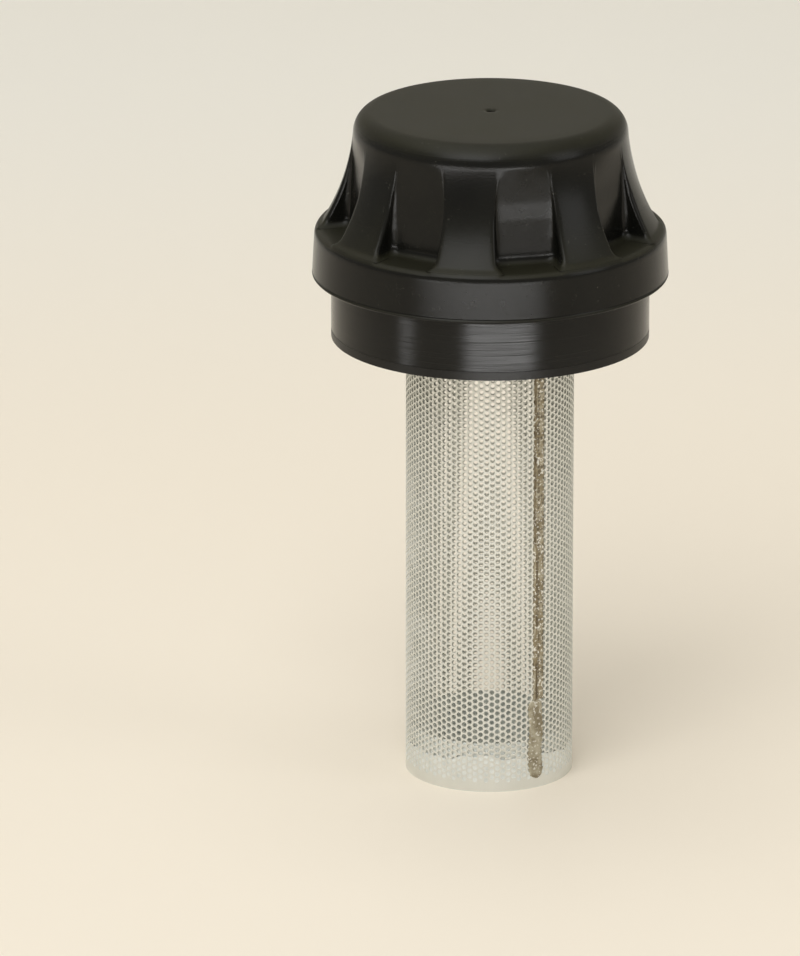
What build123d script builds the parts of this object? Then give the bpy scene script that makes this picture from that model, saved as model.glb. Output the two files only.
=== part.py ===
"""Hydraulic filler breather: a screw-on air-filter cap on a six-hole flange with a hanging strainer.

All sizes are in millimetres.  The Z axis is the axis of the neck, Z = 0 is the foot of the strainer,
and the tank wall would lie against the gasket at Z = SEAT_Z.
"""
import os
from math import cos, pi, sin

from build123d import *

# ---- driving dimensions ------------------------------------------------------------------------
# heights of the main faces
SEAT_Z = 117.2  # underside of the flange gasket
FLANGE_TOP_Z = 136.0  # top face of the flange, hidden inside the cap skirt
NECK_TOP_Z = 150.0  # filling mouth
CAP_RIM_Z = 133.5  # lower edge of the cap
CAP_TOP_Z = 176.6

# flange and gasket, for a bolt circle of 73 mm with six M5 screws
BOLT_CIRCLE_R = 36.5
BOLT_COUNT = 6
BOLT_FIRST_ANGLE = 30.0
BOLT_HOLE_R = 2.75
GASKET_T = 2.2
GASKET_R = 40.8
GASKET_BORE_R = 29.3
FLANGE_R = 40.8
SPIGOT_R = 29.1
SPIGOT_DROP = 1.0
NECK_R = 28.0
NECK_BORE_R = 24.5
STRAINER_PASSAGE_R = 22.0
STRAINER_SEAT_Z = 125.0
POCKET_R = 34.6
POCKET_WIDTH = 6.4
POCKET_ARC = 32.0
POCKET_DEPTH = 12.0

# strainer basket
STRAINER_R = 21.6
SHEET_T = 0.6
HOLE_R = 3.7
HOLE_COLUMNS = 12
HOLE_ROWS = 10
FIRST_HOLE_Z = 18.5
HOLE_ROW_RISE = 10.2
SEAM_WIDTH = 4.0
SEAM_ANGLE = -61.0
SEAM_FOOT_Z = 12.0
END_CAP_HEIGHT = 13.0
COLLAR_T = 1.2
COLLAR_R = 24.2
COLLAR_SLEEVE_DROP = 8.0
SEAT_SEAL_T = 1.0
SNAP_RING_T = 1.4
SNAP_RING_GROOVE_R = 25.5
SNAP_RING_INNER_R = 23.0
SNAP_RING_GAP_ANGLE = 40.0

# cap moulding
CAP_WALL = 2.6
RIM_R = 45.65
RIM_TOP_R = 45.1
RIM_TOP_Z = 143.8
SHOULDER_R = 43.05
SHOULDER_Z = 146.8
WAIST_R = 37.8
WAIST_Z = 158.2
CROWN_R = 35.15
CROWN_Z = 170.8
CROWN_FLAT_R = 30.1
FLUTE_COUNT = 8
FLUTE_FIRST_ANGLE = -76.0
FLUTE_BACK_R = 34.8
FLUTE_TOP_Z = 174.0
FLUTE_FOOT_Z = 145.2
FLUTE_TOP_WIDTH = 13.2
FLUTE_FOOT_WIDTH = 17.2
FLUTE_CORNER_R = 2.6
FLUTE_BACK_ROUND = 2.0
FLUTE_WALL = 2.3
BOSS_R = 6.5
BOSS_END_Z = 154.5

# screw ring inside the cap
SCREW_RING_R = 32.1
SCREW_RING_BORE_R = 29.6
SCREW_RING_FOOT_Z = 138.0
PLATE_Z = 152.0
PLATE_TOP_Z = BOSS_END_Z
HUB_R = 7.0
HUB_FOOT_Z = 147.5
WINDOW_R = 11.8
WINDOW_WIDTH = 6.0
WINDOW_COUNT = 6

# air filter element
ELEMENT_R = 30.0
ELEMENT_CORE_R = 18.6
PLEAT_COUNT = 44
PAPER_T = 0.5
END_RING_T = 1.2
ELEMENT_SEAL_T = 1.0
CORE_T = 0.8
CORE_SLOTS = 16

# centre screw
SCREW_R = 2.45
SCREW_HEAD_R = 4.4
SCREW_HEAD_T = 3.4
WASHER_T = 1.2
GUARD_R = 20.0
GUARD_T = 1.5
GUARD_DROP = 2.4
BUSH_R = 3.6
BUSH_FOOT_Z = 156.0
BUSH_TOP_Z = 168.0

os.makedirs("parts", exist_ok=True)

FLANGE_FOOT_Z = SEAT_Z + GASKET_T
CEILING_Z = CAP_TOP_Z - 3.0


def finish(builder, name):
    """Label a finished piece and write its STEP file."""
    builder.part.label = name
    export_step(builder.part, f"parts/{name}.step")


def ring(outer, inner, foot, top):
    """Builder for a plain ring between two heights."""
    with BuildPart() as piece:
        with BuildSketch(Plane.XY.offset(foot)):
            Circle(outer)
            Circle(inner, mode=Mode.SUBTRACT)
        extrude(amount=top - foot)
    return piece


# ---- flange: moulded nylon, with the neck that carries the cap -------------------------------------
with BuildPart() as flange_body:
    with BuildSketch(Plane.XZ):
        with BuildLine():
            Polyline(
                (STRAINER_PASSAGE_R, FLANGE_FOOT_Z - SPIGOT_DROP),
                (SPIGOT_R, FLANGE_FOOT_Z - SPIGOT_DROP),
                (SPIGOT_R, FLANGE_FOOT_Z),
                (FLANGE_R, FLANGE_FOOT_Z),
                (FLANGE_R, FLANGE_TOP_Z),
                (NECK_R, FLANGE_TOP_Z),
                (NECK_R, NECK_TOP_Z),
                (NECK_BORE_R, NECK_TOP_Z),
                (NECK_BORE_R, STRAINER_SEAT_Z),
                (STRAINER_PASSAGE_R, STRAINER_SEAT_Z),
                close=True,
            )
        make_face()
    revolve(axis=Axis.Z)
    # groove of the snap ring
    groove_foot = STRAINER_SEAT_Z + SEAT_SEAL_T + COLLAR_T
    with BuildSketch(Plane.XY.offset(groove_foot)):
        Circle(SNAP_RING_GROOVE_R)
    extrude(amount=SNAP_RING_T, mode=Mode.SUBTRACT)
    # screw holes right through, and the cored pockets between them
    with BuildSketch(Plane.XY.offset(FLANGE_FOOT_Z)):
        with PolarLocations(BOLT_CIRCLE_R, BOLT_COUNT, start_angle=BOLT_FIRST_ANGLE):
            Circle(BOLT_HOLE_R)
    extrude(amount=FLANGE_TOP_Z - FLANGE_FOOT_Z, mode=Mode.SUBTRACT)
    with BuildSketch(Plane.XY.offset(FLANGE_TOP_Z)):
        with PolarLocations(0, BOLT_COUNT, start_angle=BOLT_FIRST_ANGLE + 180 / BOLT_COUNT):
            SlotArc(CenterArc((0, 0), POCKET_R, -POCKET_ARC / 2, POCKET_ARC), POCKET_WIDTH)
    extrude(amount=-POCKET_DEPTH, mode=Mode.SUBTRACT)
    # small rounds on the two outer edges and at the mouth
    rims = flange_body.edges().filter_by(GeomType.CIRCLE)
    outer_rims = [e for e in rims if e.radius > FLANGE_R - 0.01]
    mouth_rims = [e for e in rims if abs(e.center().Z - NECK_TOP_Z) < 0.01]
    fillet(outer_rims, radius=0.15)
    fillet(mouth_rims, radius=0.4)
finish(flange_body, "flange_body")

with BuildPart() as flange_gasket:
    with BuildSketch(Plane.XY.offset(SEAT_Z)):
        Circle(GASKET_R)
        Circle(GASKET_BORE_R, mode=Mode.SUBTRACT)
        with PolarLocations(BOLT_CIRCLE_R, BOLT_COUNT, start_angle=BOLT_FIRST_ANGLE):
            Circle(BOLT_HOLE_R, mode=Mode.SUBTRACT)
    extrude(amount=GASKET_T)
finish(flange_gasket, "flange_gasket")

# ---- strainer basket --------------------------------------------------------------------------------
COLLAR_Z = STRAINER_SEAT_Z + SEAT_SEAL_T
SLEEVE_R = STRAINER_R - SHEET_T

# perforated sheet rolled to a tube, its edges lapped and seamed
with BuildPart() as strainer_tube:
    with BuildSketch():
        Circle(STRAINER_R)
        Circle(SLEEVE_R, mode=Mode.SUBTRACT)
    extrude(amount=COLLAR_Z)
    # the lap lies inside the tube, between the end cap and the collar's sleeve
    lap_foot = END_CAP_HEIGHT
    lap_top = COLLAR_Z - COLLAR_SLEEVE_DROP
    with BuildSketch(Plane.XY.offset(lap_foot)):
        Circle(SLEEVE_R)
        Circle(SLEEVE_R - SHEET_T, mode=Mode.SUBTRACT)
        with Locations(Location((0, 0, 0), (0, 0, SEAM_ANGLE))):
            with Locations((SLEEVE_R, 0)):
                Rectangle(2 * SEAM_WIDTH, SEAM_WIDTH, mode=Mode.INTERSECT)
    extrude(amount=lap_top - lap_foot)
    # staggered openings; the real sheet has many more and smaller ones
    for row in range(HOLE_ROWS):
        stagger = 0.5 * (row % 2) * 360 / HOLE_COLUMNS
        with Locations((0, 0, FIRST_HOLE_Z + row * HOLE_ROW_RISE)):
            with PolarLocations(STRAINER_R, HOLE_COLUMNS, start_angle=SEAM_ANGLE + 15 + stagger):
                Cylinder(HOLE_R, 6 * SHEET_T, rotation=(0, 90, 0), mode=Mode.SUBTRACT)
finish(strainer_tube, "strainer_tube")

# pressed cup that closes the foot of the tube
with BuildPart() as strainer_end_cap:
    with BuildSketch(Plane.XZ):
        with BuildLine():
            Polyline(
                (0, 0),
                (SLEEVE_R - 2.0, 0),
                (SLEEVE_R, 2.0),
                (SLEEVE_R, END_CAP_HEIGHT),
                (SLEEVE_R - SHEET_T, END_CAP_HEIGHT),
                (SLEEVE_R - SHEET_T, 2.3),
                (SLEEVE_R - 2.3, SHEET_T),
                (0, SHEET_T),
                close=True,
            )
        make_face()
    revolve(axis=Axis.Z)
finish(strainer_end_cap, "strainer_end_cap")

# collar the basket hangs by: a sleeve inside the tube and a flat rim
with BuildPart() as strainer_collar:
    with BuildSketch(Plane.XZ):
        with BuildLine():
            Polyline(
                (SLEEVE_R - SHEET_T, COLLAR_Z - COLLAR_SLEEVE_DROP),
                (SLEEVE_R, COLLAR_Z - COLLAR_SLEEVE_DROP),
                (SLEEVE_R, COLLAR_Z),
                (COLLAR_R, COLLAR_Z),
                (COLLAR_R, COLLAR_Z + COLLAR_T),
                (SLEEVE_R - SHEET_T, COLLAR_Z + COLLAR_T),
                close=True,
            )
        make_face()
    revolve(axis=Axis.Z)
finish(strainer_collar, "strainer_collar")

finish(ring(COLLAR_R, STRAINER_PASSAGE_R + 0.2, STRAINER_SEAT_Z, COLLAR_Z), "strainer_seat_seal")

# open snap ring above the collar
with BuildPart() as strainer_snap_ring:
    with BuildSketch(Plane.XY.offset(COLLAR_Z + COLLAR_T)):
        Circle(SNAP_RING_GROOVE_R - 0.1)
        Circle(SNAP_RING_INNER_R, mode=Mode.SUBTRACT)
        with Locations((0, SNAP_RING_INNER_R + 1)):
            Rectangle(9.0, 6.0, mode=Mode.SUBTRACT)
    extrude(amount=SNAP_RING_T)
finish(strainer_snap_ring, "strainer_snap_ring")

# ---- cap: moulded nylon cover with eight finger flutes ------------------------------------------------
def cap_outline(inset, ceiling, flat_r):
    """Half outline of the cap: a rim band, a rounded shoulder, a hollow flare and a rounded crown."""
    rise = ceiling - CROWN_Z
    rim = (RIM_R - inset, CAP_RIM_Z)
    rim_top = (RIM_TOP_R - inset, RIM_TOP_Z)
    shoulder = (SHOULDER_R - inset, SHOULDER_Z)
    waist = (WAIST_R - inset, WAIST_Z)
    crown = (CROWN_R - inset, CROWN_Z)
    with BuildLine() as outline:
        Line((0, CAP_RIM_Z), rim)
        Line(rim, rim_top)
        ThreePointArc(rim_top, (SHOULDER_R + 1.55 - inset, SHOULDER_Z - 1.15), shoulder)
        ThreePointArc(shoulder, waist, crown)
        EllipticalCenterArc((flat_r, CROWN_Z), CROWN_R - inset - flat_r, rise, arc_size=90)
        Line((flat_r, ceiling), (0, ceiling))
        Line((0, ceiling), (0, CAP_RIM_Z))
    return outline


def flute_tools(grow):
    """Eight radial blocks, trapezoid from outside, that cut the flutes; grow makes their walls instead."""
    foot_half = FLUTE_FOOT_WIDTH / 2 + grow
    top_half = FLUTE_TOP_WIDTH / 2 + grow
    with BuildPart() as block:
        with BuildSketch(Plane.YZ.offset(FLUTE_BACK_R - grow)):
            with BuildLine():
                Polyline(
                    (-foot_half, FLUTE_FOOT_Z - grow),
                    (foot_half, FLUTE_FOOT_Z - grow),
                    (top_half, FLUTE_TOP_Z + grow),
                    (-top_half, FLUTE_TOP_Z + grow),
                    close=True,
                )
            make_face()
            fillet(vertices(), radius=FLUTE_CORNER_R)
        extrude(amount=RIM_R - FLUTE_BACK_R + grow + 2)
        fillet(faces().sort_by(Axis.X)[0].edges(), radius=FLUTE_BACK_ROUND)
    with BuildPart() as tools:
        with PolarLocations(0, FLUTE_COUNT, start_angle=FLUTE_FIRST_ANGLE - 90):
            add(block.part)
    return tools


with BuildPart() as envelope:
    with BuildSketch(Plane.XZ):
        add(cap_outline(0, CAP_TOP_Z, CROWN_FLAT_R).line)
        make_face()
    revolve(axis=Axis.Z)

with BuildPart() as flute_walls:
    add(flute_tools(FLUTE_WALL).part)
    add(envelope.part, mode=Mode.INTERSECT)

with BuildPart() as cap_cover:
    add(envelope.part)
    with BuildSketch(Plane.XZ):
        add(cap_outline(CAP_WALL, CEILING_Z, CROWN_FLAT_R).line)
        make_face()
    revolve(axis=Axis.Z, mode=Mode.SUBTRACT)
    add(flute_walls.part)
    add(flute_tools(0).part, mode=Mode.SUBTRACT)
    # centre boss for the retaining screw
    with BuildSketch(Plane.XY.offset(BOSS_END_Z)):
        Circle(BOSS_R)
    extrude(amount=CEILING_Z - BOSS_END_Z)
    with BuildSketch(Plane.XY.offset(BOSS_END_Z)):
        Circle(BUSH_R)
    extrude(amount=BUSH_TOP_Z - BOSS_END_Z, mode=Mode.SUBTRACT)
finish(cap_cover, "cap_cover")

# ---- screw ring: carries the thread and closes the element's chamber ---------------------------------
with BuildPart() as cap_screw_ring:
    with BuildSketch(Plane.XZ):
        with BuildLine():
            Polyline(
                (SCREW_R + 0.1, HUB_FOOT_Z),
                (HUB_R, HUB_FOOT_Z),
                (HUB_R, PLATE_Z),
                (SCREW_RING_BORE_R, PLATE_Z),
                (SCREW_RING_BORE_R, SCREW_RING_FOOT_Z),
                (SCREW_RING_R, SCREW_RING_FOOT_Z),
                (SCREW_RING_R, PLATE_TOP_Z),
                (SCREW_R + 0.1, PLATE_TOP_Z),
                close=True,
            )
        make_face()
    revolve(axis=Axis.Z)
    with BuildSketch(Plane.XY.offset(PLATE_Z)):
        with PolarLocations(0, WINDOW_COUNT):
            SlotArc(CenterArc((0, 0), WINDOW_R, -15, 30), WINDOW_WIDTH)
    extrude(amount=PLATE_TOP_Z - PLATE_Z, mode=Mode.SUBTRACT)
finish(cap_screw_ring, "cap_screw_ring")

finish(ring(SCREW_RING_BORE_R - 0.3, NECK_BORE_R + 0.2, NECK_TOP_Z, PLATE_Z), "cap_gasket")

# ---- air filter element -------------------------------------------------------------------------------
LOWER_RING_Z = PLATE_TOP_Z + ELEMENT_SEAL_T
PAPER_FOOT_Z = LOWER_RING_Z + END_RING_T
UPPER_RING_TOP_Z = CEILING_Z - ELEMENT_SEAL_T
PAPER_TOP_Z = UPPER_RING_TOP_Z - END_RING_T


def pleat_points(outer, inner):
    """Corner points of a folded ring: one fold out and one fold in for each pleat."""
    step = 2 * pi / PLEAT_COUNT
    points = []
    for fold in range(PLEAT_COUNT):
        points.append((outer * cos(fold * step), outer * sin(fold * step)))
        points.append((inner * cos((fold + 0.5) * step), inner * sin((fold + 0.5) * step)))
    return points


with BuildPart() as air_filter_element:
    with BuildSketch(Plane.XY.offset(PAPER_FOOT_Z)):
        with BuildLine():
            Polyline(*pleat_points(ELEMENT_R, ELEMENT_CORE_R + 3 * PAPER_T), close=True)
        make_face()
        with BuildLine():
            Polyline(*pleat_points(ELEMENT_R - 3 * PAPER_T, ELEMENT_CORE_R), close=True)
        make_face(mode=Mode.SUBTRACT)
    extrude(amount=PAPER_TOP_Z - PAPER_FOOT_Z)
finish(air_filter_element, "air_filter_element")

core_bore = ELEMENT_CORE_R - CORE_T
finish(ring(ELEMENT_R + 0.6, core_bore, PAPER_TOP_Z, UPPER_RING_TOP_Z), "element_upper_end_ring")
finish(ring(ELEMENT_R + 0.6, core_bore, LOWER_RING_Z, PAPER_FOOT_Z), "element_lower_end_ring")
finish(ring(ELEMENT_R - 0.5, core_bore + 1, UPPER_RING_TOP_Z, CEILING_Z), "element_upper_seal")
finish(ring(ELEMENT_R - 0.5, core_bore + 1, PLATE_TOP_Z, LOWER_RING_Z), "element_lower_seal")

# slotted tube that keeps the pleats from folding inwards
with BuildPart() as element_core:
    with BuildSketch(Plane.XY.offset(PAPER_FOOT_Z)):
        Circle(ELEMENT_CORE_R - 0.05)
        Circle(core_bore, mode=Mode.SUBTRACT)
    extrude(amount=PAPER_TOP_Z - PAPER_FOOT_Z)
    with BuildSketch(Plane.XY.offset(PAPER_FOOT_Z + 2)):
        with PolarLocations(ELEMENT_CORE_R, CORE_SLOTS):
            Rectangle(4, 3.4)
    extrude(amount=PAPER_TOP_Z - PAPER_FOOT_Z - 4, mode=Mode.SUBTRACT)
finish(element_core, "element_core")

# ---- centre screw, its bush and the splash guard ----------------------------------------------------------
finish(ring(BUSH_R, SCREW_R + 0.05, BUSH_FOOT_Z, BUSH_TOP_Z), "brass_bush")

with BuildPart() as splash_guard:
    with BuildSketch(Plane.XZ):
        with BuildLine():
            Polyline(
                (SCREW_R + 0.1, HUB_FOOT_Z - GUARD_T),
                (HUB_R, HUB_FOOT_Z - GUARD_T),
                (GUARD_R - 1, HUB_FOOT_Z - GUARD_T - GUARD_DROP),
                (GUARD_R, HUB_FOOT_Z - GUARD_T - GUARD_DROP),
                (GUARD_R, HUB_FOOT_Z - GUARD_DROP),
                (HUB_R, HUB_FOOT_Z),
                (SCREW_R + 0.1, HUB_FOOT_Z),
                close=True,
            )
        make_face()
    revolve(axis=Axis.Z)
finish(splash_guard, "splash_guard")

WASHER_TOP_Z = HUB_FOOT_Z - GUARD_T
finish(ring(5.0, SCREW_R + 0.1, WASHER_TOP_Z - WASHER_T, WASHER_TOP_Z), "retainer_washer")

with BuildPart() as retainer_screw:
    head_top = WASHER_TOP_Z - WASHER_T
    with BuildSketch(Plane.XY.offset(head_top - SCREW_HEAD_T)):
        Circle(SCREW_HEAD_R)
    extrude(amount=SCREW_HEAD_T)
    with BuildSketch(Plane.XY.offset(head_top)):
        Circle(SCREW_R)
    extrude(amount=BUSH_TOP_Z - 1 - head_top)
    with BuildSketch(Plane.XY.offset(head_top - SCREW_HEAD_T)):
        RegularPolygon(radius=2.3, side_count=6)
    extrude(amount=2.2, mode=Mode.SUBTRACT)
finish(retainer_screw, "retainer_screw")
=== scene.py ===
# %% [markdown]
# # A hydraulic filler breather
#
# This lesson dresses a filler breather for a hydraulic tank: a black nylon screw cap with eight finger
# flutes, a glossy black flange, and a strainer basket of bright perforated sheet that hangs below it.
# The solids come from a CAD model in metres, which Blender never moves. Blender adds the finishes, a cover
# with rounded edges, the small holes of the strainer and its soldered seam, the thread and the light.

# %% Load the CAD frame
import bpy
import math
import numpy as np
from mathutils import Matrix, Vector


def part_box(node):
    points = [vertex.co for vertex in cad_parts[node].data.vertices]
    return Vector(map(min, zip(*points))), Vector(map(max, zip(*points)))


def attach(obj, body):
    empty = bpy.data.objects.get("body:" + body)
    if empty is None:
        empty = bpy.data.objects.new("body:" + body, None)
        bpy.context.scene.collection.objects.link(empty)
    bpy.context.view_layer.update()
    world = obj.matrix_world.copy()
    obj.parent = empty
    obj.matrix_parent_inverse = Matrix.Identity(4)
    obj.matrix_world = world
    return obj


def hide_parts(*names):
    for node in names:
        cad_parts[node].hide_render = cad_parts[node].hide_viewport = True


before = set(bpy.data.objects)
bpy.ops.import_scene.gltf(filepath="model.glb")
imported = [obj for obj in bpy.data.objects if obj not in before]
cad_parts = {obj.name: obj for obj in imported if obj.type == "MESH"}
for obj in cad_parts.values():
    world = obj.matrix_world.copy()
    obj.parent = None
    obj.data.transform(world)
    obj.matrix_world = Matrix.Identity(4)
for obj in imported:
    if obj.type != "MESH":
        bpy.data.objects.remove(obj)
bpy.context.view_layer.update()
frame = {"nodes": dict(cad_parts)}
MM = 0.001
print("nodes:", ", ".join(frame["nodes"]))

# %% [markdown]
# ## Sizes read from the frame
#
# A piece that Blender adds has to sit on a CAD solid, so its sizes are read from that solid's box and
# not typed in twice. A box gives the lowest and highest corner of a node, which for a round part is its
# radius and its two heights.

# %% Radii and heights of the main solids
def span(node):
    """Outer radius, foot and top of a round node."""
    low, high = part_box(node)
    return high.x, low.z, high.z


TUBE_R, TUBE_FOOT, TUBE_TOP = span("strainer_tube")
CAP_R, CAP_RIM, CAP_TOP = span("cap_cover")
_, RING_FOOT, _ = span("cap_screw_ring")
print(f"strainer radius {TUBE_R / MM:.2f} mm, cap radius {CAP_R / MM:.2f} mm, height {CAP_TOP / MM:.1f} mm")

# %% [markdown]
# ## Writing shader maths as Python
#
# A procedural finish is mostly arithmetic on patterns. Adding Math nodes by hand hides that arithmetic,
# so a small class wraps one output socket and gives it Python's own operators: `1 - mask * 0.3` then
# builds its three nodes. Colours keep to Mix nodes, because a Math node would turn them grey.

# %% A socket with Python's operators
class Wire:
    """One output socket; an expression on it adds Math nodes to the same tree."""

    def __init__(self, finish, socket):
        self.finish = finish
        self.socket = socket

    def maths(self, operation, first, second=0.0):
        node = self.finish.node("ShaderNodeMath", {"operation": operation}, {0: first, 1: second})
        return node.wire(0)

    def __add__(self, other):
        return self.maths("ADD", self, other)

    def __sub__(self, other):
        return self.maths("SUBTRACT", self, other)

    def __mul__(self, other):
        return self.maths("MULTIPLY", self, other)

    def __rsub__(self, other):
        return self.maths("SUBTRACT", other, self)

    __radd__ = __add__
    __rmul__ = __mul__

    def above(self, edge, blur):
        """Rises smoothly from 0 to 1 as the value passes edge, over a width of blur."""
        limits = {"From Min": edge - blur / 2, "From Max": edge + blur / 2, "Value": self}
        return self.finish.node("ShaderNodeMapRange", {"interpolation_type": "SMOOTHSTEP"}, limits).wire(0)


class Made:
    """A node that was just made, whose outputs are asked for by name or number."""

    def __init__(self, finish, node):
        self.finish = finish
        self.node = node

    def wire(self, output):
        return Wire(self.finish, self.node.outputs[output])


print("a Wire understands +, -, * and above")

# %% A finish: one material and the ways to add nodes to it
class Finish:
    """A named material with a Principled shader."""

    def __init__(self, name, **constants):
        self.material = bpy.data.materials.new(name)
        self.material.use_nodes = True
        self.tree = self.material.node_tree
        self.shader = self.tree.nodes["Principled BSDF"]
        for socket, value in constants.items():
            self.shader.inputs[socket.replace("_", " ")].default_value = value
        self.place = self.node("ShaderNodeTexCoord").wire("Object")

    def node(self, kind, settings=None, sockets=None):
        """Add a node: its settings first, then a value or a Wire for each socket."""
        node = self.tree.nodes.new(kind)
        for name, value in (settings or {}).items():
            setattr(node, name, value)
        for name, value in (sockets or {}).items():
            if isinstance(value, Wire):
                self.tree.links.new(value.socket, node.inputs[name])
            else:
                node.inputs[name].default_value = value
        return Made(self, node)

    def feed(self, socket, value):
        """Link a Wire to one of the shader's sockets."""
        self.tree.links.new(value.socket, self.shader.inputs[socket])

    def stretched(self, x=1.0, y=1.0, z=1.0):
        """The object's own coordinates, stretched along an axis to draw a pattern out."""
        return self.node("ShaderNodeMapping", None, {"Vector": self.place, "Scale": (x, y, z)}).wire(0)

    def noise(self, scale, detail=2.0, at=None):
        """A cloudy pattern from 0 to 1, with scale lumps to the metre."""
        sockets = {"Vector": at or self.place, "Scale": scale, "Detail": detail}
        return self.node("ShaderNodeTexNoise", None, sockets).wire(0)

    def mix(self, factor, first, second):
        """Blend of two colours. A Mix node's colour sockets are its seventh and eighth."""
        sockets = {"Factor": factor, 6: first, 7: second}
        return self.node("ShaderNodeMix", {"data_type": "RGBA"}, sockets).wire(2)

    def bump(self, height, depth, strength):
        """Feed a height field, whose full swing is depth in metres, to the shader's normal."""
        sockets = {"Strength": strength, "Distance": depth, "Height": height}
        self.feed("Normal", self.node("ShaderNodeBump", None, sockets).wire(0))


def srgb(red, green, blue):
    """A screen colour of 0 to 255 as the linear colour a shader expects."""
    screen = np.array([red, green, blue]) / 255
    linear = np.where(screen <= 0.04045, screen / 12.92, ((screen + 0.055) / 1.055) ** 2.4)
    return (*(float(part) for part in linear), 1.0)


print("shader helpers are ready")

# %% [markdown]
# ## Black nylon on the cap
#
# The cap is a nylon moulding. Hands have rubbed its steep sides smooth, so they mirror a lamp softly, while
# the top keeps the mould's satin grain and a little pale dust, with painted light that makes the upward
# faces lighter. One mask, how far a face looks up, drives both: it raises the roughness and lets the dust
# and the painted top light show. The surface normal gives it, so it needs no texture map.

# %% Finish of the cap
def cap_nylon():
    finish = Finish("satin_black_nylon", IOR=1.28)
    facing = finish.node("ShaderNodeNewGeometry").wire("Normal")
    upward = finish.node("ShaderNodeSeparateXYZ", None, {0: facing}).wire("Z").above(0.5, 0.6)
    grain = finish.noise(2600, detail=3)
    cloud = finish.noise(60, detail=4)
    speck = finish.noise(1500, detail=1).above(0.72, 0.05) * finish.noise(240).above(0.55, 0.15)
    # Pale dust on the upward faces, which also paints them lighter, the way the overhead light falls on
    # them.
    dust_and_top_light = upward * (0.35 + 0.4 * cloud) * (0.5 + grain)
    plain = finish.mix(cloud.above(0.5, 0.5), srgb(13, 13, 11), srgb(18, 18, 15))
    dusty_lit_top = finish.mix(dust_and_top_light * 0.24, plain, srgb(76, 74, 46))
    finish.feed("Base Color", finish.mix(speck * 0.15, dusty_lit_top, srgb(120, 118, 108)))
    finish.feed("Roughness", 0.15 + 0.07 * cloud + 0.33 * upward)
    finish.bump(grain + 0.4 * finish.noise(900), 0.04 * MM, 0.5)
    return finish.material


CAP_NYLON = cap_nylon()
print(CAP_NYLON.name, "waits for the cover")

# %% [markdown]
# ## Turned nylon on the flange
#
# The flange was faced on a lathe, which leaves grooves finer than a hair all round it. Each groove
# reflects a lamp up and down, never sideways, so a lamp shows as an upright streak of light. The grooves
# are noise read along the height only: the coordinates are squeezed to nearly nothing across the other
# two axes. The mouldings inside the cap are plain black nylon, a little rougher.

# %% Finish of the flange, and of the mouldings inside the cap
def turned_nylon():
    finish = Finish("turned_black_nylon", IOR=1.3)
    grooves = finish.noise(5200, detail=3, at=finish.stretched(0.004, 0.004, 1.0))
    broad = finish.noise(700, detail=2, at=finish.stretched(0.03, 0.03, 1.0))
    rubbed = finish.noise(45, detail=4)
    plain = finish.mix(rubbed.above(0.5, 0.5), srgb(11, 11, 9), srgb(15, 15, 13))
    finish.feed("Base Color", finish.mix(grooves.above(0.66, 0.2) * 0.3, plain, srgb(44, 44, 40)))
    finish.feed("Roughness", 0.1 + 0.1 * broad + 0.06 * rubbed)
    finish.bump(grooves + 0.6 * broad, 0.025 * MM, 1.0)
    return finish.material


def moulded_nylon():
    finish = Finish("plain_black_nylon", IOR=1.5)
    cloud = finish.noise(80, detail=3)
    finish.feed("Base Color", finish.mix(cloud, srgb(20, 20, 18), srgb(30, 30, 27)))
    finish.feed("Roughness", 0.4 + 0.2 * cloud)
    finish.bump(finish.noise(1800), 0.03 * MM, 0.5)
    return finish.material


def dress(material, *nodes):
    """Put a finish on CAD nodes, whatever slot they came with."""
    for node in nodes:
        slots = frame["nodes"][node].data.materials
        slots.clear()
        slots.append(material)
    print(material.name, "on", ", ".join(nodes))


PLAIN_NYLON = moulded_nylon()
dress(turned_nylon(), "flange_body")
dress(PLAIN_NYLON, "cap_screw_ring", "splash_guard")

# %% [markdown]
# ## Bright zinc
#
# Zinc plating is a finely scratched mirror, pale grey, with a roughness that drifts. Cloudy patches of
# white bloom are less metallic than the rest. Pressed pieces are fully metallic. The perforated sheet isn't
# quite, because light scattered among its thousands of edges makes it paler, and it has faint upright
# rolling marks.

# %% Finish of the sheet metal
def zinc(name, rolled, metallic):
    finish = Finish(name)
    cloud = finish.noise(90, detail=4)
    marks = finish.noise(2200, detail=2, at=finish.stretched(1.0, 1.0, 0.03))
    bloom = (finish.noise(260, detail=5) * cloud).above(0.3, 0.2)
    bright = finish.mix(cloud, srgb(220, 222, 217), srgb(236, 237, 232))
    finish.feed("Base Color", finish.mix(bloom * 0.5, bright, srgb(222, 222, 214)))
    finish.feed("Metallic", metallic - 0.35 * bloom)
    finish.feed("Roughness", 0.34 + 0.14 * cloud + 0.1 * bloom)
    finish.bump(marks * rolled + finish.noise(700), 0.02 * MM, 0.5)
    return finish.material


SHEET_ZINC = zinc("bright_zinc_perforated", 1.0, 0.75)
dress(zinc("bright_zinc_pressed", 0.3, 1.0), "strainer_collar", "element_upper_end_ring",
      "element_lower_end_ring", "element_core")

# %% [markdown]
# ## Zinc bond and solder
#
# The basket's end cap is joined to the sheet by a coat of molten zinc, and the same lumpy look, only
# browner, belongs to solder and to the dark line painted as the shadow of the lap's edge. All of them are
# one
# finish with other colours: soft lumps that turn from dull to metallic, and small painted glints, pale
# colour where a noise rises above a high edge.

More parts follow.
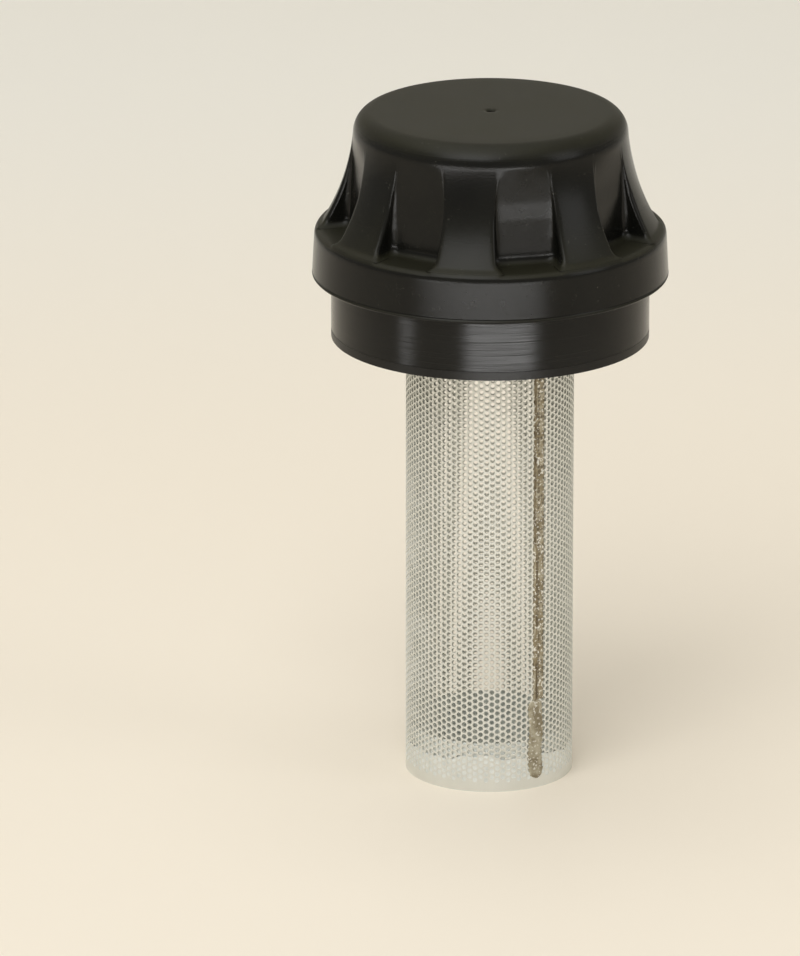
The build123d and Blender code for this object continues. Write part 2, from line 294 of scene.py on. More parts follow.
# %% Finish of zinc bond, solder and the painted shadow of the lap's edge
def solder(name, dark, light, metallic):
    finish = Finish(name)
    lumps = finish.noise(420, detail=4)
    # Painted glints: pale colour where a fine noise passes a high edge, standing for small bright
    # reflections.
    painted_glint = finish.noise(1500, detail=2).above(0.62, 0.06)
    dull = finish.mix(lumps.above(0.5, 0.35), dark, light)
    finish.feed("Base Color", finish.mix(painted_glint * 0.7, dull, srgb(236, 235, 228)))
    finish.feed("Metallic", metallic * lumps)
    finish.feed("Roughness", 0.3 + 0.3 * lumps)
    finish.bump(lumps, 0.3 * MM, 0.8)
    return finish.material


dress(solder("pale_zinc_bloom", srgb(224, 228, 226), srgb(240, 243, 241), 0.3), "strainer_end_cap")

# %% [markdown]
# ## The small parts and the seals
#
# Rubber sheet is almost black, with a fibrous face. Spring steel is darker and smoother than zinc. Brass
# is yellow and turned, so it shares the steel's fine rings. The filter paper is cream, soaked in resin,
# with fibres that a stretched noise draws out along the pleats.

# %% Finishes of rubber, steel, brass and paper
def rubber():
    finish = Finish("fibrous_rubber_sheet", IOR=1.32)
    fibre = finish.noise(1600, detail=5)
    finish.feed("Base Color", finish.mix(fibre, srgb(13, 13, 11), srgb(22, 21, 18)))
    finish.feed("Roughness", 0.26 + 0.2 * fibre)
    finish.bump(fibre, 0.03 * MM, 0.5)
    return finish.material


def turned_metal(name, dark, light, rough):
    finish = Finish(name, Metallic=1.0)
    rings = finish.noise(3000, detail=2, at=finish.stretched(0.02, 0.02, 1.0))
    finish.feed("Base Color", finish.mix(rings, dark, light))
    finish.feed("Roughness", rough + 0.12 * rings)
    finish.bump(rings, 0.01 * MM, 0.4)
    return finish.material


def paper():
    finish = Finish("resin_filter_paper", IOR=1.45)
    fibre = finish.noise(1400, detail=6, at=finish.stretched(1.0, 1.0, 0.4))
    finish.feed("Base Color", finish.mix(fibre, srgb(196, 170, 112), srgb(228, 208, 156)))
    finish.feed("Roughness", 0.75 + 0.15 * fibre)
    finish.bump(fibre, 0.05 * MM, 0.6)
    return finish.material


dress(rubber(), "flange_gasket", "cap_gasket", "strainer_seat_seal", "element_upper_seal",
      "element_lower_seal")
dress(turned_metal("bright_spring_steel", srgb(150, 150, 148), srgb(190, 190, 188), 0.25),
      "strainer_snap_ring", "retainer_washer", "retainer_screw")
dress(turned_metal("turned_brass", srgb(190, 150, 70), srgb(222, 184, 100), 0.28), "brass_bush")
dress(paper(), "air_filter_element")

# %% [markdown]
# ## The holes of the strainer
#
# The basket is rolled from sheet with thousands of round holes in a staggered pattern, and one sees the
# far wall through the near one. A bump or an alpha mask would lose that depth, so each hole is real.
# The sheet is a grid of small rectangular cells with a hole in each; every second column is moved up by
# half a cell. A hole has only eight sides, which is round enough at a millimetre across.

# %% Hole pattern from its pitch
HOLE_PITCH = 1.65 * MM
HOLE_R = 0.66 * MM
SHEET_T = 0.6 * MM
COLUMN_PITCH = HOLE_PITCH * math.sqrt(3) / 2
COLUMNS = 2 * round(math.pi * TUBE_R / COLUMN_PITCH)
COLUMN = 2 * math.pi * TUBE_R / COLUMNS
PLAIN_FOOT = 2.4 * MM
PLAIN_TOP = 6.0 * MM
ROWS = int((TUBE_TOP - TUBE_FOOT - PLAIN_FOOT - PLAIN_TOP) / HOLE_PITCH)
FIRST_HOLE_Z = TUBE_FOOT + PLAIN_FOOT
LAST_HOLE_Z = FIRST_HOLE_Z + ROWS * HOLE_PITCH
print(f"{COLUMNS} columns of {ROWS} holes, {COLUMNS * ROWS - COLUMNS // 2} in all")

# %% [markdown]
# ## From points and faces to a mesh
#
# A new piece starts as two arrays: its points, and the quads that name their corners by number. Round pieces
# are rings of points with a skin drawn through them. Parts are made side by side without a thought for
# shared points, and points that fall together are made one at the end, so that the mesh has no open seams.

# %% Helpers that make a mesh object
MERGE = 0.002 * MM


def make_piece(name, points, faces, material, smooth=True):
    """Build an object at the origin. Points that coincide are made one, so that seams are closed."""
    keys = np.round(points / MERGE).astype(np.int64)
    _, first, back = np.unique(keys, axis=0, return_index=True, return_inverse=True)
    faces = back.reshape(-1)[faces]
    mesh = bpy.data.meshes.new(name)
    mesh.from_pydata(points[first].tolist(), [], faces.tolist())
    mesh.validate()
    mesh.polygons.foreach_set("use_smooth", np.full(len(mesh.polygons), smooth))
    mesh.materials.append(material)
    piece = bpy.data.objects.new(name, mesh)
    bpy.context.scene.collection.objects.link(piece)
    triangles = sum(len(face.vertices) - 2 for face in mesh.polygons)
    print(f"{name}: {triangles} triangles")
    return piece


def polar(radius, angle, height):
    """Points round the axis: x is radius times cosine of the angle, and y is radius times its sine."""
    return np.stack([radius * np.cos(angle), radius * np.sin(angle), height], axis=-1)


def on_tube(across, height, radius):
    """Roll flat sheet onto the tube: arc length over the tube's radius is the angle, and height stays."""
    return polar(radius, across / TUBE_R, height)


def skin(rings, inward=False):
    """Points and quads of a surface through rings of points, given as (ring, step, 3). Each quad joins
    a step to the next one and to the ring above, and the last step joins the first. inward flips them."""
    count, around = rings.shape[:2]
    ring, step = np.meshgrid(np.arange(count - 1), np.arange(around), indexing="ij")
    start, after = ring * around, (step + 1) % around
    corners = [start + step, start + after, start + around + after, start + around + step]
    faces = np.stack(corners, axis=-1).reshape(-1, 4)
    return rings.reshape(-1, 3), faces[:, ::-1] if inward else faces


def join(parts):
    """One list of points and faces from several."""
    counts = np.cumsum([0] + [len(points) for points, _ in parts])
    faces = [part_faces + start for (_, part_faces), start in zip(parts, counts)]
    return np.concatenate([points for points, _ in parts]), np.concatenate(faces)


print(f"points within about {MERGE / MM:.3f} mm of each other become one")

# %% Cells with a hole in them
CORNERS = np.array([(-1, -1), (0, -1), (1, -1), (1, 0), (1, 1), (0, 1), (-1, 1), (-1, 0)]) / 2
SIDES = len(CORNERS)


def strip(first, second):
    """Quads that join two closed rings of points, step by step."""
    return np.stack([first, np.roll(first, -1), np.roll(second, -1), second], axis=-1)


def pierced_cells(centres):
    """Points and faces of cells with a hole. Each cell has four rings of points: the border and the
    hole on the outer skin, then the same on the inner skin. Quads join the border to the hole on both
    skins, and the two holes to each other."""
    border = CORNERS * (COLUMN, HOLE_PITCH)
    turn = np.arctan2(border[:, 1], border[:, 0])
    hole = HOLE_R * np.stack([np.cos(turn), np.sin(turn)], axis=-1)
    flat = np.concatenate([border, hole, border, hole])[None] + centres[:, None]
    radius = np.repeat([TUBE_R, TUBE_R - SHEET_T], 2 * SIDES)[None]
    points = on_tube(flat[..., 0], flat[..., 1], radius)
    border_out, hole_out, border_in, hole_in = np.arange(4 * SIDES).reshape(4, SIDES)
    cell = np.concatenate([strip(border_out, hole_out), strip(hole_in, border_in), strip(hole_out, hole_in)])
    faces = cell[None] + 4 * SIDES * np.arange(len(centres))[:, None, None]
    return points.reshape(-1, 3), faces.reshape(-1, 4)


print(f"a cell has {4 * SIDES} points and {3 * SIDES} quads")

# %% The plain sheet that fills the edges
def plain_bands(low, high, columns):
    """Unpierced sheet over whole columns, between two heights, with both skins. Each column is two
    quads wide, to meet the points of the pierced cells."""
    left = (columns[:, None] + np.array([-0.5, 0.0])[None]).reshape(-1) * COLUMN
    right = left + COLUMN / 2
    corners = []
    for across, height in ((left, low), (right, low), (right, high), (left, high)):
        corners.append(on_tube(across, np.full(len(left), height), TUBE_R))
    for across, height in ((left, high), (right, high), (right, low), (left, low)):
        corners.append(on_tube(across, np.full(len(left), height), TUBE_R - SHEET_T))
    points = np.stack(corners, axis=1).reshape(-1, 3)
    return points, np.arange(len(points)).reshape(-1, 4)


def end_faces(height, upward):
    """Ring that joins the outer and inner skin at one end of the tube."""
    left = (np.arange(2 * COLUMNS) - 1) * COLUMN / 2
    right = left + COLUMN / 2
    outer, inner = (TUBE_R, TUBE_R - SHEET_T) if upward else (TUBE_R - SHEET_T, TUBE_R)
    corners = ((left, outer), (right, outer), (right, inner), (left, inner))
    level = np.full(len(left), height)
    points = np.stack([on_tube(across, level, radius) for across, radius in corners], axis=1)
    return points.reshape(-1, 3), np.arange(4 * len(left)).reshape(-1, 4)


print(f"plain edges: {PLAIN_FOOT / MM:.1f} mm at the foot, at least {PLAIN_TOP / MM:.1f} mm at the top")

# %% The sheet, as a lower and an upper half
SPLIT_ROW = ROWS // 2
even = np.arange(0, COLUMNS, 2)
odd = np.arange(1, COLUMNS, 2)


def hole_centres(columns, first_row, last_row, lift):
    """Centres, as arc length and height, of rows first_row to last_row of some columns."""
    across, row = np.meshgrid(columns * COLUMN, np.arange(first_row, last_row), indexing="ij")
    height = FIRST_HOLE_Z + (row + 0.5 + lift) * HOLE_PITCH
    return np.stack([across.reshape(-1), height.reshape(-1)], axis=-1)


lower = join([
    pierced_cells(hole_centres(even, 0, SPLIT_ROW, 0.0)),
    pierced_cells(hole_centres(odd, 0, SPLIT_ROW, 0.5)),
    plain_bands(TUBE_FOOT, FIRST_HOLE_Z, np.arange(COLUMNS)),
    plain_bands(FIRST_HOLE_Z, FIRST_HOLE_Z + HOLE_PITCH / 2, odd),
    end_faces(TUBE_FOOT, False),
])
upper = join([
    pierced_cells(hole_centres(even, SPLIT_ROW, ROWS, 0.0)),
    pierced_cells(hole_centres(odd, SPLIT_ROW, ROWS - 1, 0.5)),
    plain_bands(LAST_HOLE_Z, TUBE_TOP, np.arange(COLUMNS)),
    plain_bands(LAST_HOLE_Z - HOLE_PITCH / 2, LAST_HOLE_Z, odd),
    end_faces(TUBE_TOP, True),
])
sheets = []
for name, (points, faces) in {"strainer_sheet_lower": lower, "strainer_sheet_upper": upper}.items():
    sheet = make_piece(name, points, faces, SHEET_ZINC, smooth=False)
    sheets.append(sheet)
    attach(sheet, "base")
    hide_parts("strainer_tube")

# %% [markdown]
# ## Seam and bond at the foot
#
# Where the rolled sheet meets itself the lap is soldered. A dull bead fills the lowest holes, and above it
# runs a thin dark brown line beside the lap, painted as the shadow of the lap's edge; the lap is where the
# holes of two layers only half line up. These are patches that lie on the tube: each is a grid of points
# whose edges sink into the sheet. At the foot a film of zinc stands behind the holes up to a wavy height.

# %% Finish of the lap
def lapped_zinc():
    """Zinc sheet with small dots of painted shade, where the holes of two layers only half line up."""
    finish = Finish("lapped_zinc")
    sockets = {"Vector": finish.place, "Scale": 900, "Randomness": 0.35}
    dots = finish.node("ShaderNodeTexVoronoi", None, sockets)
    # The dark dots are painted shade, standing for the shade inside holes that the layer below half blocks.
    hole = 1 - dots.wire("Distance").above(0.42, 0.3)
    stain = finish.noise(300, detail=3).above(0.5, 0.3)
    # Painted glints: pale colour where a fine noise passes a high edge, standing for small bright
    # reflections.
    painted_glint = finish.noise(1500, detail=2).above(0.6, 0.08)
    sheet = finish.mix(stain, srgb(178, 172, 154), srgb(146, 136, 112))
    holes_with_painted_shade = finish.mix(hole * 0.8, sheet, srgb(96, 86, 66))
    finish.feed("Base Color", finish.mix(painted_glint, holes_with_painted_shade, srgb(236, 235, 228)))
    finish.feed("Metallic", 0.7 - 0.6 * hole)
    finish.feed("Roughness", 0.3 + 0.3 * hole)
    finish.bump(1 - hole, 0.2 * MM, 0.7)
    return finish.material


LAP_ZINC = lapped_zinc()
print(LAP_ZINC.name, "is ready")

# %% A patch on the tube
PATCH_STEPS = 13
EDGE_SUNK = 0.05
BACK_SUNK = 0.08


def ripple(along, *waves):
    """Sum of sine waves along a piece, each given as (size, rate, shift)."""
    return sum(size * np.sin(rate * along + shift) for size, rate, shift in waves)


def patch(name, turn, half_width, heights, lift, material):
    """A thin sliver on the tube, with turn in degrees and half_width in mm for each height in mm. Across
    it, the face stands out by lift times the root of 1 less the fourth power of the place from -1 to 1,
    less EDGE_SUNK, so that both edges lie in the sheet, as the flat back does."""
    across = np.linspace(-1, 1, PATCH_STEPS)
    swell = lift * np.sqrt(np.clip(1 - across**4, 0, None)) - EDGE_SUNK
    angle = np.radians(turn)[:, None] + across * (half_width * MM / TUBE_R)[:, None]
    height = np.repeat(heights[:, None], len(across), axis=1) * MM
    face = polar(TUBE_R + swell * MM, angle, height)
    back = polar(TUBE_R - BACK_SUNK * MM, angle, height)
    points, faces = skin(np.concatenate([face, back[:, ::-1]], axis=1))
    piece = make_piece(name, points, faces, material)
    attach(piece, "base")


# %% The bead of solder: it swells and narrows, and its foot is round
SEAM_TURN = -56.0
SEAM_TOP = 117.0
BEAD_FOOT, BEAD_TOP = 2.6, 24.0
BEAD_HALF = 2.2
BEAD_ROUND = 2.4
BEAD_TAPER = 1.6
BEAD_LIFT = 0.33

bead_z = np.linspace(BEAD_FOOT, BEAD_TOP, 60)
foot_round = np.sqrt(1 - np.clip((BEAD_FOOT + BEAD_ROUND - bead_z) / BEAD_ROUND, 0, 1) ** 2)
bead_half = (BEAD_HALF + ripple(bead_z, (0.16, 4.1, 0), (0.1, 7.7, 0))) * np.clip(foot_round, 0.15, 1)
bead_half *= np.clip((BEAD_TOP + 0.6 - bead_z) / BEAD_TAPER, 0.25, 1)
patch("seam_solder", SEAM_TURN + ripple(bead_z, (0.5, 0.5, 0)), bead_half, bead_z, BEAD_LIFT,
      solder("seam_solder", srgb(128, 118, 94), srgb(184, 178, 158), 0.5))

# %% The line of painted shadow along the lap's edge: it steps sideways once, and wavers
LINE_TURN = SEAM_TURN - 1.3
LINE_STEP = 1.6
LINE_STEP_Z = 65.6
LINE_HALF = 0.34
LINE_LIFT = 0.3

line_z = np.linspace(BEAD_TOP - 1, SEAM_TOP, 160)
sidestep = LINE_STEP / (1 + np.exp((line_z - LINE_STEP_Z) * 1.5))
line_turn = LINE_TURN + sidestep + ripple(line_z, (0.12, 1.3, 0))
line_half = LINE_HALF + 0.12 * np.sin(line_z * 2.3) * np.sin(line_z * 0.61)
# A dark brown line, painted as the shadow that the edge of the lapped sheet casts.
patch("seam_line", line_turn, line_half, line_z, LINE_LIFT,
      solder("painted_lap_edge_shadow", srgb(92, 80, 58), srgb(146, 134, 108), 0.4))

# %% The lap beside the line
LAP_TURN = SEAM_TURN + 1.8
LAP_HALF = 1.75
LAP_LIFT = 0.16

lap_z = np.linspace(BEAD_TOP, SEAM_TOP, 90)
lap_half = LAP_HALF + ripple(lap_z, (0.08, 0.9, 0))
patch("seam_lap", np.full(len(lap_z), LAP_TURN), lap_half, lap_z, LAP_LIFT, LAP_ZINC)

# %% The bond behind the lowest holes
BOND_STEPS = 240
BOND_FOOT, BOND_TOP = 0.6, 8.6
BOND_FACE, BOND_BACK = TUBE_R - 0.12 * MM, TUBE_R - 0.4 * MM

bond_turn = np.arange(BOND_STEPS) * 2 * math.pi / BOND_STEPS
bond_height = BOND_TOP - BOND_FOOT + ripple(bond_turn, (0.7, 3, 0), (0.5, 7, 1), (0.3, 19, 0))
section = ((BOND_FACE, 0), (BOND_FACE, 1), (BOND_BACK, 1), (BOND_BACK, 0), (BOND_FACE, 0))
bond_rings = [polar(radius, bond_turn, (BOND_FOOT + bond_height * up) * MM) for radius, up in section]
bond = make_piece("foot_bond", *skin(np.stack(bond_rings)),
                  solder("zinc_bond", srgb(216, 221, 218), srgb(234, 238, 236), 0.3), smooth=False)
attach(bond, "base")

# %% [markdown]
# ## The fluted cover
#
# The cap is one moulding: a plain rim band, a hollow flare, a rounded crown, and eight flutes for the
# fingers. Every edge of a moulding is a little round, and that is what light draws. So the cover is
# worked out as a surface: its rows run up the outline, and each row is a plan section with the flutes in
# it. A flute's plan has five runs: flat back, round corner, side wall, round lip, and the land beside it.
# Points of the outline are (radius, height) in mm.

# %% Outline of the cover
TOP = CAP_TOP / MM
RIM_LOW = (CAP_R / MM, CAP_RIM / MM)
RIM_HIGH = (45.1, 143.8)
SHOULDER_MID = (44.6, 145.65)
SHOULDER = (43.05, 146.8)
WAIST = (37.8, 158.2)
CROWN = (35.15, 170.8)
CROWN_FLAT = 30.1
CEILING = TOP - 3.0
WALL = 2.6
RIM_ROUND = 0.6


def arc(first, middle, last, count):
    """Points on the circle through three points, from the first to the last. The centre is where the
    two bisectors cross."""
    first, middle, last = (np.array(point, float) for point in (first, middle, last))
    sides = 2 * np.array([middle - first, last - first])
    squares = np.array([middle @ middle - first @ first, last @ last - first @ first])
    centre = np.linalg.solve(sides, squares)
    turns = np.unwrap([math.atan2(*(point - centre)[::-1]) for point in (first, middle, last)])
    turn = np.linspace(turns[0], turns[2], count)
    radius = np.linalg.norm(first - centre)
    return centre + radius * np.stack([np.cos(turn), np.sin(turn)], axis=-1)


outline = np.concatenate([
    [RIM_LOW, RIM_HIGH],
    arc(RIM_HIGH, SHOULDER_MID, SHOULDER, 12)[1:],
    arc(SHOULDER, WAIST, CROWN, 60)[1:],
])
print(f"outline: {len(outline)} points, from {outline[0].round(2)} to {outline[-1].round(2)}")

# %% Sizes of the flutes
FLUTES = 8
HALF_TURN = math.pi / FLUTES
FLUTE_TURN = math.radians(-166)
BACK_R = 34.8
BACK_BREAK_Z = 157.5
BACK_SLOPE = 0.045
FADE_Z = 161.5
FOOT_Z = 146.0
TOP_Z = 174.0
FOOT_HALF = 8.6
TOP_HALF = 6.6
CORNER = 2.6
CORNER_SQUEEZE = 0.8
BACK_ROUND = 2.0
LIP_ROUND = 1.0
# A round takes at most these shares of the flute's depth and of its half width.
MOST_OF_DEPTH = 0.45
MOST_OF_HALF = 0.6
FLUTE_WALL = 2.3
# Steps in each of the five runs, and the share of a plain circle that each run takes.
COUNTS = np.array([6, 5, 5, 5, 9])
CIRCLE_RUNS = np.array([0.38, 0.06, 0.06, 0.06, 0.44])
print(f"{FLUTES} flutes, {2 * FOOT_HALF:.1f} mm wide at the foot, {2 * COUNTS.sum()} steps to each")

# %% Plan section through the flutes
def flute_half(height, grow):
    """Half width of a flute: it tapers upwards and has round lower corners."""
    share = np.clip((height - FOOT_Z) / (TOP_Z - FOOT_Z), 0, 1)
    width = FOOT_HALF + (TOP_HALF - FOOT_HALF) * share
    below = np.clip(CORNER - (height - FOOT_Z), 0, CORNER)
    return width - (CORNER - np.sqrt(CORNER**2 - below**2)) * CORNER_SQUEEZE + grow


def blend(first, last, count):
    """Values from first to last for every row: rows down, steps across."""
    step = (np.arange(count) + 1) / count
    return first[:, None] + (last - first)[:, None] * step


def plan(radius, height, share, grow):
    """Plan sections of one half flute, for rows of given radius and height. share is 0 where the flute
    is cut to its full depth and 1 where the section is a plain circle; grow moves the cut outwards from
    the flute. Returns (row, step, 2): across the flute, and out from the axis."""
    back = BACK_R - grow - BACK_SLOPE * np.clip(height - BACK_BREAK_Z, 0, None)
    chord = np.sqrt(np.clip(radius**2 - back**2, 0, None))
    half = np.minimum(flute_half(height, grow), chord)
    depth = np.sqrt(np.clip(radius**2 - half**2, 0, None)) - back
    inner = np.clip(np.minimum(BACK_ROUND, MOST_OF_DEPTH * depth), 0, MOST_OF_HALF * half)
    lip = np.clip(np.minimum(LIP_ROUND, MOST_OF_DEPTH * depth), 0, None)
    lip_out = np.sqrt(np.clip((radius - lip) ** 2 - (half + lip) ** 2, 0, None))
    lip_turn = np.arctan2(half + lip, lip_out)
    flat_steps, corner_steps, wall_steps, lip_steps, land_steps = COUNTS
    zero = 0 * radius
    corner = (np.arange(corner_steps) + 1) / corner_steps * math.pi / 2
    round_lip = blend(zero + math.pi, math.pi / 2 - lip_turn, lip_steps)
    land = blend(lip_turn, zero + HALF_TURN, land_steps)
    across = [
        zero[:, None],
        blend(zero, half - inner, flat_steps),
        (half - inner)[:, None] + inner[:, None] * np.sin(corner),
        blend(half, half, wall_steps),
        (half + lip)[:, None] + lip[:, None] * np.cos(round_lip),
        radius[:, None] * np.sin(land),
    ]
    out = [
        back[:, None],
        blend(back, back, flat_steps),
        (back + inner)[:, None] - inner[:, None] * np.cos(corner),
        blend(back + inner, np.maximum(lip_out, back + inner), wall_steps),
        lip_out[:, None] + lip[:, None] * np.sin(round_lip),
        radius[:, None] * np.cos(land),
    ]
    fluted = np.stack([np.concatenate(across, axis=1), np.concatenate(out, axis=1)], axis=-1)
    circle_turn = np.concatenate([[0.0], np.repeat(CIRCLE_RUNS * HALF_TURN / COUNTS, COUNTS)]).cumsum()
    circle = radius[:, None, None] * np.stack([np.sin(circle_turn), np.cos(circle_turn)], axis=-1)
    return fluted + (circle - fluted) * share[:, None, None]


def all_round(half_plan, height):
    """Mirror the half flute, repeat it round the axis, and lift each row to its height."""
    mirrored = half_plan[:, :0:-1] * (-1, 1)
    whole = np.concatenate([mirrored, half_plan[:, :-1]], axis=1)
    turn = FLUTE_TURN + np.arange(FLUTES) * 2 * HALF_TURN
    out, across = whole[..., 1][:, None], whole[..., 0][:, None]
    x = out * np.cos(turn)[:, None] - across * np.sin(turn)[:, None]
    y = out * np.sin(turn)[:, None] + across * np.cos(turn)[:, None]
    z = np.broadcast_to(height[:, None, None], x.shape)
    return np.stack([x, y, z], axis=-1).reshape(len(height), -1, 3)


# %% Rows up the cover
# How round the section still is where the lip ends and where the ledge ends: 1 is a plain circle.
LIP_SHARE = 0.88
LEDGE_SHARE = 0.2


def quarter(count):
    """Angles through a quarter turn."""
    return np.linspace(0, math.pi / 2, count)


def cover_rows(inset, grow, fine):
    """Rings of points from the rim up to the crown. At the flutes' foot the rows turn from circles to
    cut sections through a rounded lip, a level ledge and a small fillet; towards the crown they turn
    back to circles. fine is the number of rows in each round."""
    foot = FOOT_Z - grow
    turn = quarter(fine)
    below = np.linspace(RIM_LOW[1] + RIM_ROUND, foot - LIP_ROUND, 2 * fine)[:-1]
    lip_z = foot - LIP_ROUND * (1 - np.sin(turn))
    lip_share = 1 - (1 - LIP_SHARE) * (1 - np.cos(turn))
    ledge_share = np.linspace(LIP_SHARE, LEDGE_SHARE, fine)[1:-1]
    fillet_z = foot + BACK_ROUND * (1 - np.cos(turn))
    fillet_share = LEDGE_SHARE * (1 - np.sin(turn))
    above = np.linspace(foot + BACK_ROUND, CROWN[1], 6 * fine)[1:]
    above_share = np.clip((above - FADE_Z) / (CROWN[1] - FADE_Z), 0, 1) ** 2
    height = np.concatenate([below, lip_z, np.full(len(ledge_share), foot), fillet_z, above])
    share = np.concatenate([np.ones(len(below)), lip_share, ledge_share, fillet_share, above_share])
    radius = np.interp(height, outline[:, 1], outline[:, 0]) - inset
    return all_round(plan(radius, height, share, grow), height)


def level_rings(*profile):
    """Plain rings, one for each (radius, height)."""
    radius, height = np.array(profile, float).T
    return all_round(plan(radius, height, np.ones(len(radius)), 0.0), height)


# %% Outside of the cover: rim, flutes, crown, top face and the dimple where the mould was filled
GATE_R, GATE_DEEP = 1.4, 0.35
GATE_ROUND, GATE_BEVEL = 0.1, 0.3
POLE_R = 0.02

rim_turn = quarter(6)
rim = np.stack([RIM_LOW[0] - RIM_ROUND * (1 - np.sin(rim_turn)),
                RIM_LOW[1] + RIM_ROUND * (1 - np.cos(rim_turn))], axis=-1)
inner_rim = (RIM_LOW[0] - WALL, RIM_LOW[1])
crown_turn = quarter(16)[1:]
crown = np.stack([CROWN_FLAT + (CROWN[0] - CROWN_FLAT) * np.cos(crown_turn),
                  CROWN[1] + (TOP - CROWN[1]) * np.sin(crown_turn)], axis=-1)
top_face = [(radius, TOP) for radius in (26, 20, 14, 9, 5, 2.6, GATE_R + 0.2)]
gate = [(GATE_R, TOP - GATE_ROUND), (GATE_R - GATE_BEVEL, TOP - GATE_DEEP), (POLE_R, TOP - GATE_DEEP)]
outside = np.concatenate([level_rings(inner_rim, *rim), cover_rows(0.0, 0.0, 8),
                          level_rings(*crown, *top_face, *gate)])
print(f"outside: {outside.shape[0]} rings of {outside.shape[1]} points")

# %% Inside of the cover, with the hollow boss of the bush, and the whole moulding
BOSS_R, BOSS_FOOT = 6.5, 154.5
BUSH_R, BUSH_TOP = 3.6, 168.0
CEILING_ROUND = (2.0, 1.2)

ceiling = [(CROWN_FLAT + CEILING_ROUND[0], CEILING - CEILING_ROUND[1]), (CROWN_FLAT, CEILING),
           (BOSS_R, CEILING), (BOSS_R, BOSS_FOOT), (BUSH_R, BOSS_FOOT),
           (BUSH_R, BUSH_TOP), (POLE_R, BUSH_TOP)]
inside = np.concatenate([level_rings(inner_rim), cover_rows(WALL, FLUTE_WALL, 4), level_rings(*ceiling)])
points, faces = join([skin(outside * MM), skin(inside * MM, inward=True)])
cover = make_piece("cap_cover_moulding", points, faces, CAP_NYLON)
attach(cover, "cap")
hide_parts("cap_cover")

# %% [markdown]
# ## The thread under the cap
#
# The cap screws onto the neck by a coarse right-hand thread. A thread is a radius that depends on the turn
# and the height together: the height less the lead times the turn says how far a point is from the middle
# of a ridge. The neck's ridges point out, and the ring's point in, half a lead higher, to lie between them.

# %% Ridges of the neck and of the ring
LEAD = 6.0
NECK_R = 28.0
RING_BORE = 29.6
RIDGE = 1.3
RIDGE_HALF = 1.25
FLANK = 0.55
RUN_OUT = 0.8
ROOT = 0.15
THREAD_FOOT, THREAD_TOP = 137.5, 149.2
STEPS_ROUND, STEPS_UP = 120, 56


def ridge(turn, height, foot, top):
    """Height of the ridge from 0 to 1, with sloping flanks, fading out at both ends of the thread."""
    along = (height - LEAD * turn / (2 * math.pi)) % LEAD - LEAD / 2
    flank = np.clip((RIDGE_HALF - np.abs(along)) / FLANK, 0, 1)
    return flank * np.clip(np.minimum(height - foot, top - height) / RUN_OUT, 0, 1)


def thread_band(name, core, reach, foot, top, shift, body):
    """A thin sleeve with a thread on it, all in mm. reach is positive outwards and negative inwards."""
    around = np.arange(STEPS_ROUND) * 2 * math.pi / STEPS_ROUND
    turn, height = np.meshgrid(around, np.linspace(foot, top, STEPS_UP))
    radius = core + reach * ridge(turn, height - shift, foot - shift, top - shift)
    face = polar(radius, turn, height)
    back = polar(core - ROOT * np.sign(reach), turn, height)[::-1]
    points, faces = skin(np.concatenate([face, back, face[:1]]) * MM, inward=reach < 0)
    piece = make_piece(name, points, faces, PLAIN_NYLON)
    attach(piece, body)


thread_band("neck_thread", NECK_R, RIDGE, THREAD_FOOT, THREAD_TOP, 0.0, "base")
thread_band("ring_thread", RING_BORE, -RIDGE, RING_FOOT / MM + 0.4, THREAD_TOP, LEAD / 2, "cap")

# %% [markdown]
# ## The floor, the light and the camera
#
# The floor is a wide pale sheet that turns up into a wall behind, in one curve, so no line crosses the
# picture. A large soft lamp stands in front, high and to the left, a weaker one hangs overhead, and a small
# one fills from the right. Black nylon shows little but what it mirrors, so low cards on the floor in front
# give it something bright: they draw the upright streak on the flange. Light linking keeps each card to its
# own pieces, which leaves the rest lit from above.

# %% Floor and wall in one sweep, in metres
FLOOR_FRONT, FLOOR_BACK = -4.0, 1.6
BEND = 0.5
WALL_TOP = 3.0
BACKDROP_HALF = 4.0


def sweep_profile():
    """Side view of the backdrop: floor, quarter circle, wall."""
    turn = quarter(17)
    curve_y = FLOOR_BACK + BEND * np.sin(turn)
    curve_z = BEND * (1 - np.cos(turn))
    side_y = np.concatenate([[FLOOR_FRONT], curve_y, [FLOOR_BACK + BEND]])
    return side_y, np.concatenate([[0.0], curve_z, [WALL_TOP]])


def floor_finish():
    """Warm paper near the object, a little cooler on the wall."""
    finish = Finish("pale_backdrop", IOR=1.45, Roughness=0.5)
    back = finish.node("ShaderNodeSeparateXYZ", None, {0: finish.place}).wire("Y").above(0.45, 0.5)
    finish.feed("Base Color", finish.mix(back, srgb(238, 229, 213), srgb(236, 233, 224)))
    return finish.material


sweep_y, sweep_z = sweep_profile()
left_edge = np.stack([np.full_like(sweep_y, -BACKDROP_HALF), sweep_y, sweep_z], axis=-1)
right_edge = left_edge * (-1, 1, 1)
steps = np.arange(len(sweep_y) - 1)
count = len(sweep_y)
sweep_faces = np.stack([steps, steps + count, steps + count + 1, steps + 1], axis=-1)
backdrop = make_piece("backdrop", np.concatenate([left_edge, right_edge]), sweep_faces, floor_finish())

# %% Lamps
def softbox(name, place, aim, width, height, power):
    """A rectangular lamp at a place, pointed at another."""
    data = bpy.data.lights.new(name, "AREA")
    data.shape = "RECTANGLE"
    data.size, data.size_y, data.energy = width, height, power
    lamp = bpy.data.objects.new(name, data)
    lamp.location = place
    direction = Vector(aim) - Vector(place)
    lamp.rotation_euler = direction.to_track_quat("-Z", "Y").to_euler()
    bpy.context.scene.collection.objects.link(lamp)
    return lamp


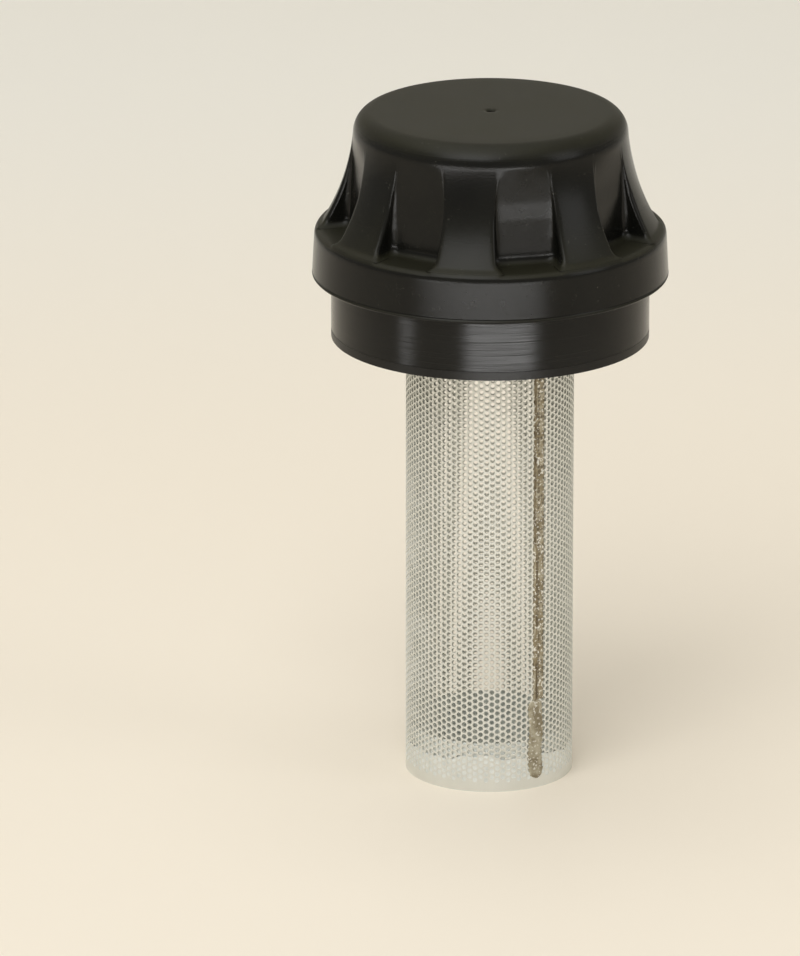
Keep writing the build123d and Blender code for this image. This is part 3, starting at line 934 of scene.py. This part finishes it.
middle = (0.0, 0.0, CAP_TOP / 2)
softbox("key", (-0.6, -1.6, 2.2), middle, 1.9, 1.9, 42)
softbox("overhead", (-0.3, 0.2, 2.0), middle, 1.6, 1.6, 11)
softbox("fill_right", (1.6, -0.7, 0.9), middle, 0.8, 1.2, 4)


# %% Cards on the floor
CARD_LIFT = 0.01


def card(name, left, right, near, far, radiance, lit):
    """A lamp just above the floor that faces up, like a white card. It spans left to right and near to
    far in front of the object, its power is radiance times pi times its area, and it lights only the
    listed pieces."""
    place = ((left + right) / 2, -(near + far) / 2, CARD_LIFT)
    width, depth = right - left, far - near
    lamp = softbox(name, place, (place[0], place[1], 1.0), width, depth, radiance * math.pi * width * depth)
    lamp.visible_camera = False
    lit_by_card = bpy.data.collections.new(name)
    for piece in lit:
        lit_by_card.objects.link(piece)
    lamp.light_linking.receiver_collection = lit_by_card


flange = [frame["nodes"]["flange_body"], frame["nodes"]["flange_gasket"]]
card("card_near", -0.06, 0.08, 0.10, 0.28, 0.4, sheets)
card("card_middle", -0.11, 0.22, 0.33, 0.45, 17.0, flange)
card("card_side", -0.40, -0.32, 0.17, 0.25, 8.0, flange)
card("card_rim", -0.10, 0.26, 0.36, 0.42, 2.6, [cover])
card("card_far", -0.80, 0.55, 0.70, 1.10, 10.0, [cover])

# %% World
world = bpy.data.worlds.new("studio")
world.use_nodes = True
world.node_tree.nodes["Background"].inputs["Color"].default_value = srgb(236, 232, 224)
world.node_tree.nodes["Background"].inputs["Strength"].default_value = 0.48
bpy.context.scene.world = world
print("world:", world.name)

# %% Camera
CAMERA_BACK = 2.452
CAMERA_UP = 0.8725
CAMERA_DOWN_TILT = 17.95
CAMERA_TURN = 0.54
SENSOR_MM = 36.0
LENS_MM = 376.569

camera_data = bpy.data.cameras.new("camera")
camera_data.sensor_fit = "AUTO"
camera_data.sensor_width = SENSOR_MM
camera_data.lens = LENS_MM
camera_data.clip_end = 50
camera = bpy.data.objects.new("camera", camera_data)
camera.location = (0.0, -CAMERA_BACK, CAMERA_UP)
camera.rotation_euler = (math.radians(90 - CAMERA_DOWN_TILT), 0.0, math.radians(CAMERA_TURN))
bpy.context.scene.collection.objects.link(camera)
bpy.context.scene.camera = camera
bpy.context.scene.view_settings.view_transform = "Standard"
print(f"lens {camera_data.lens:.1f} mm")
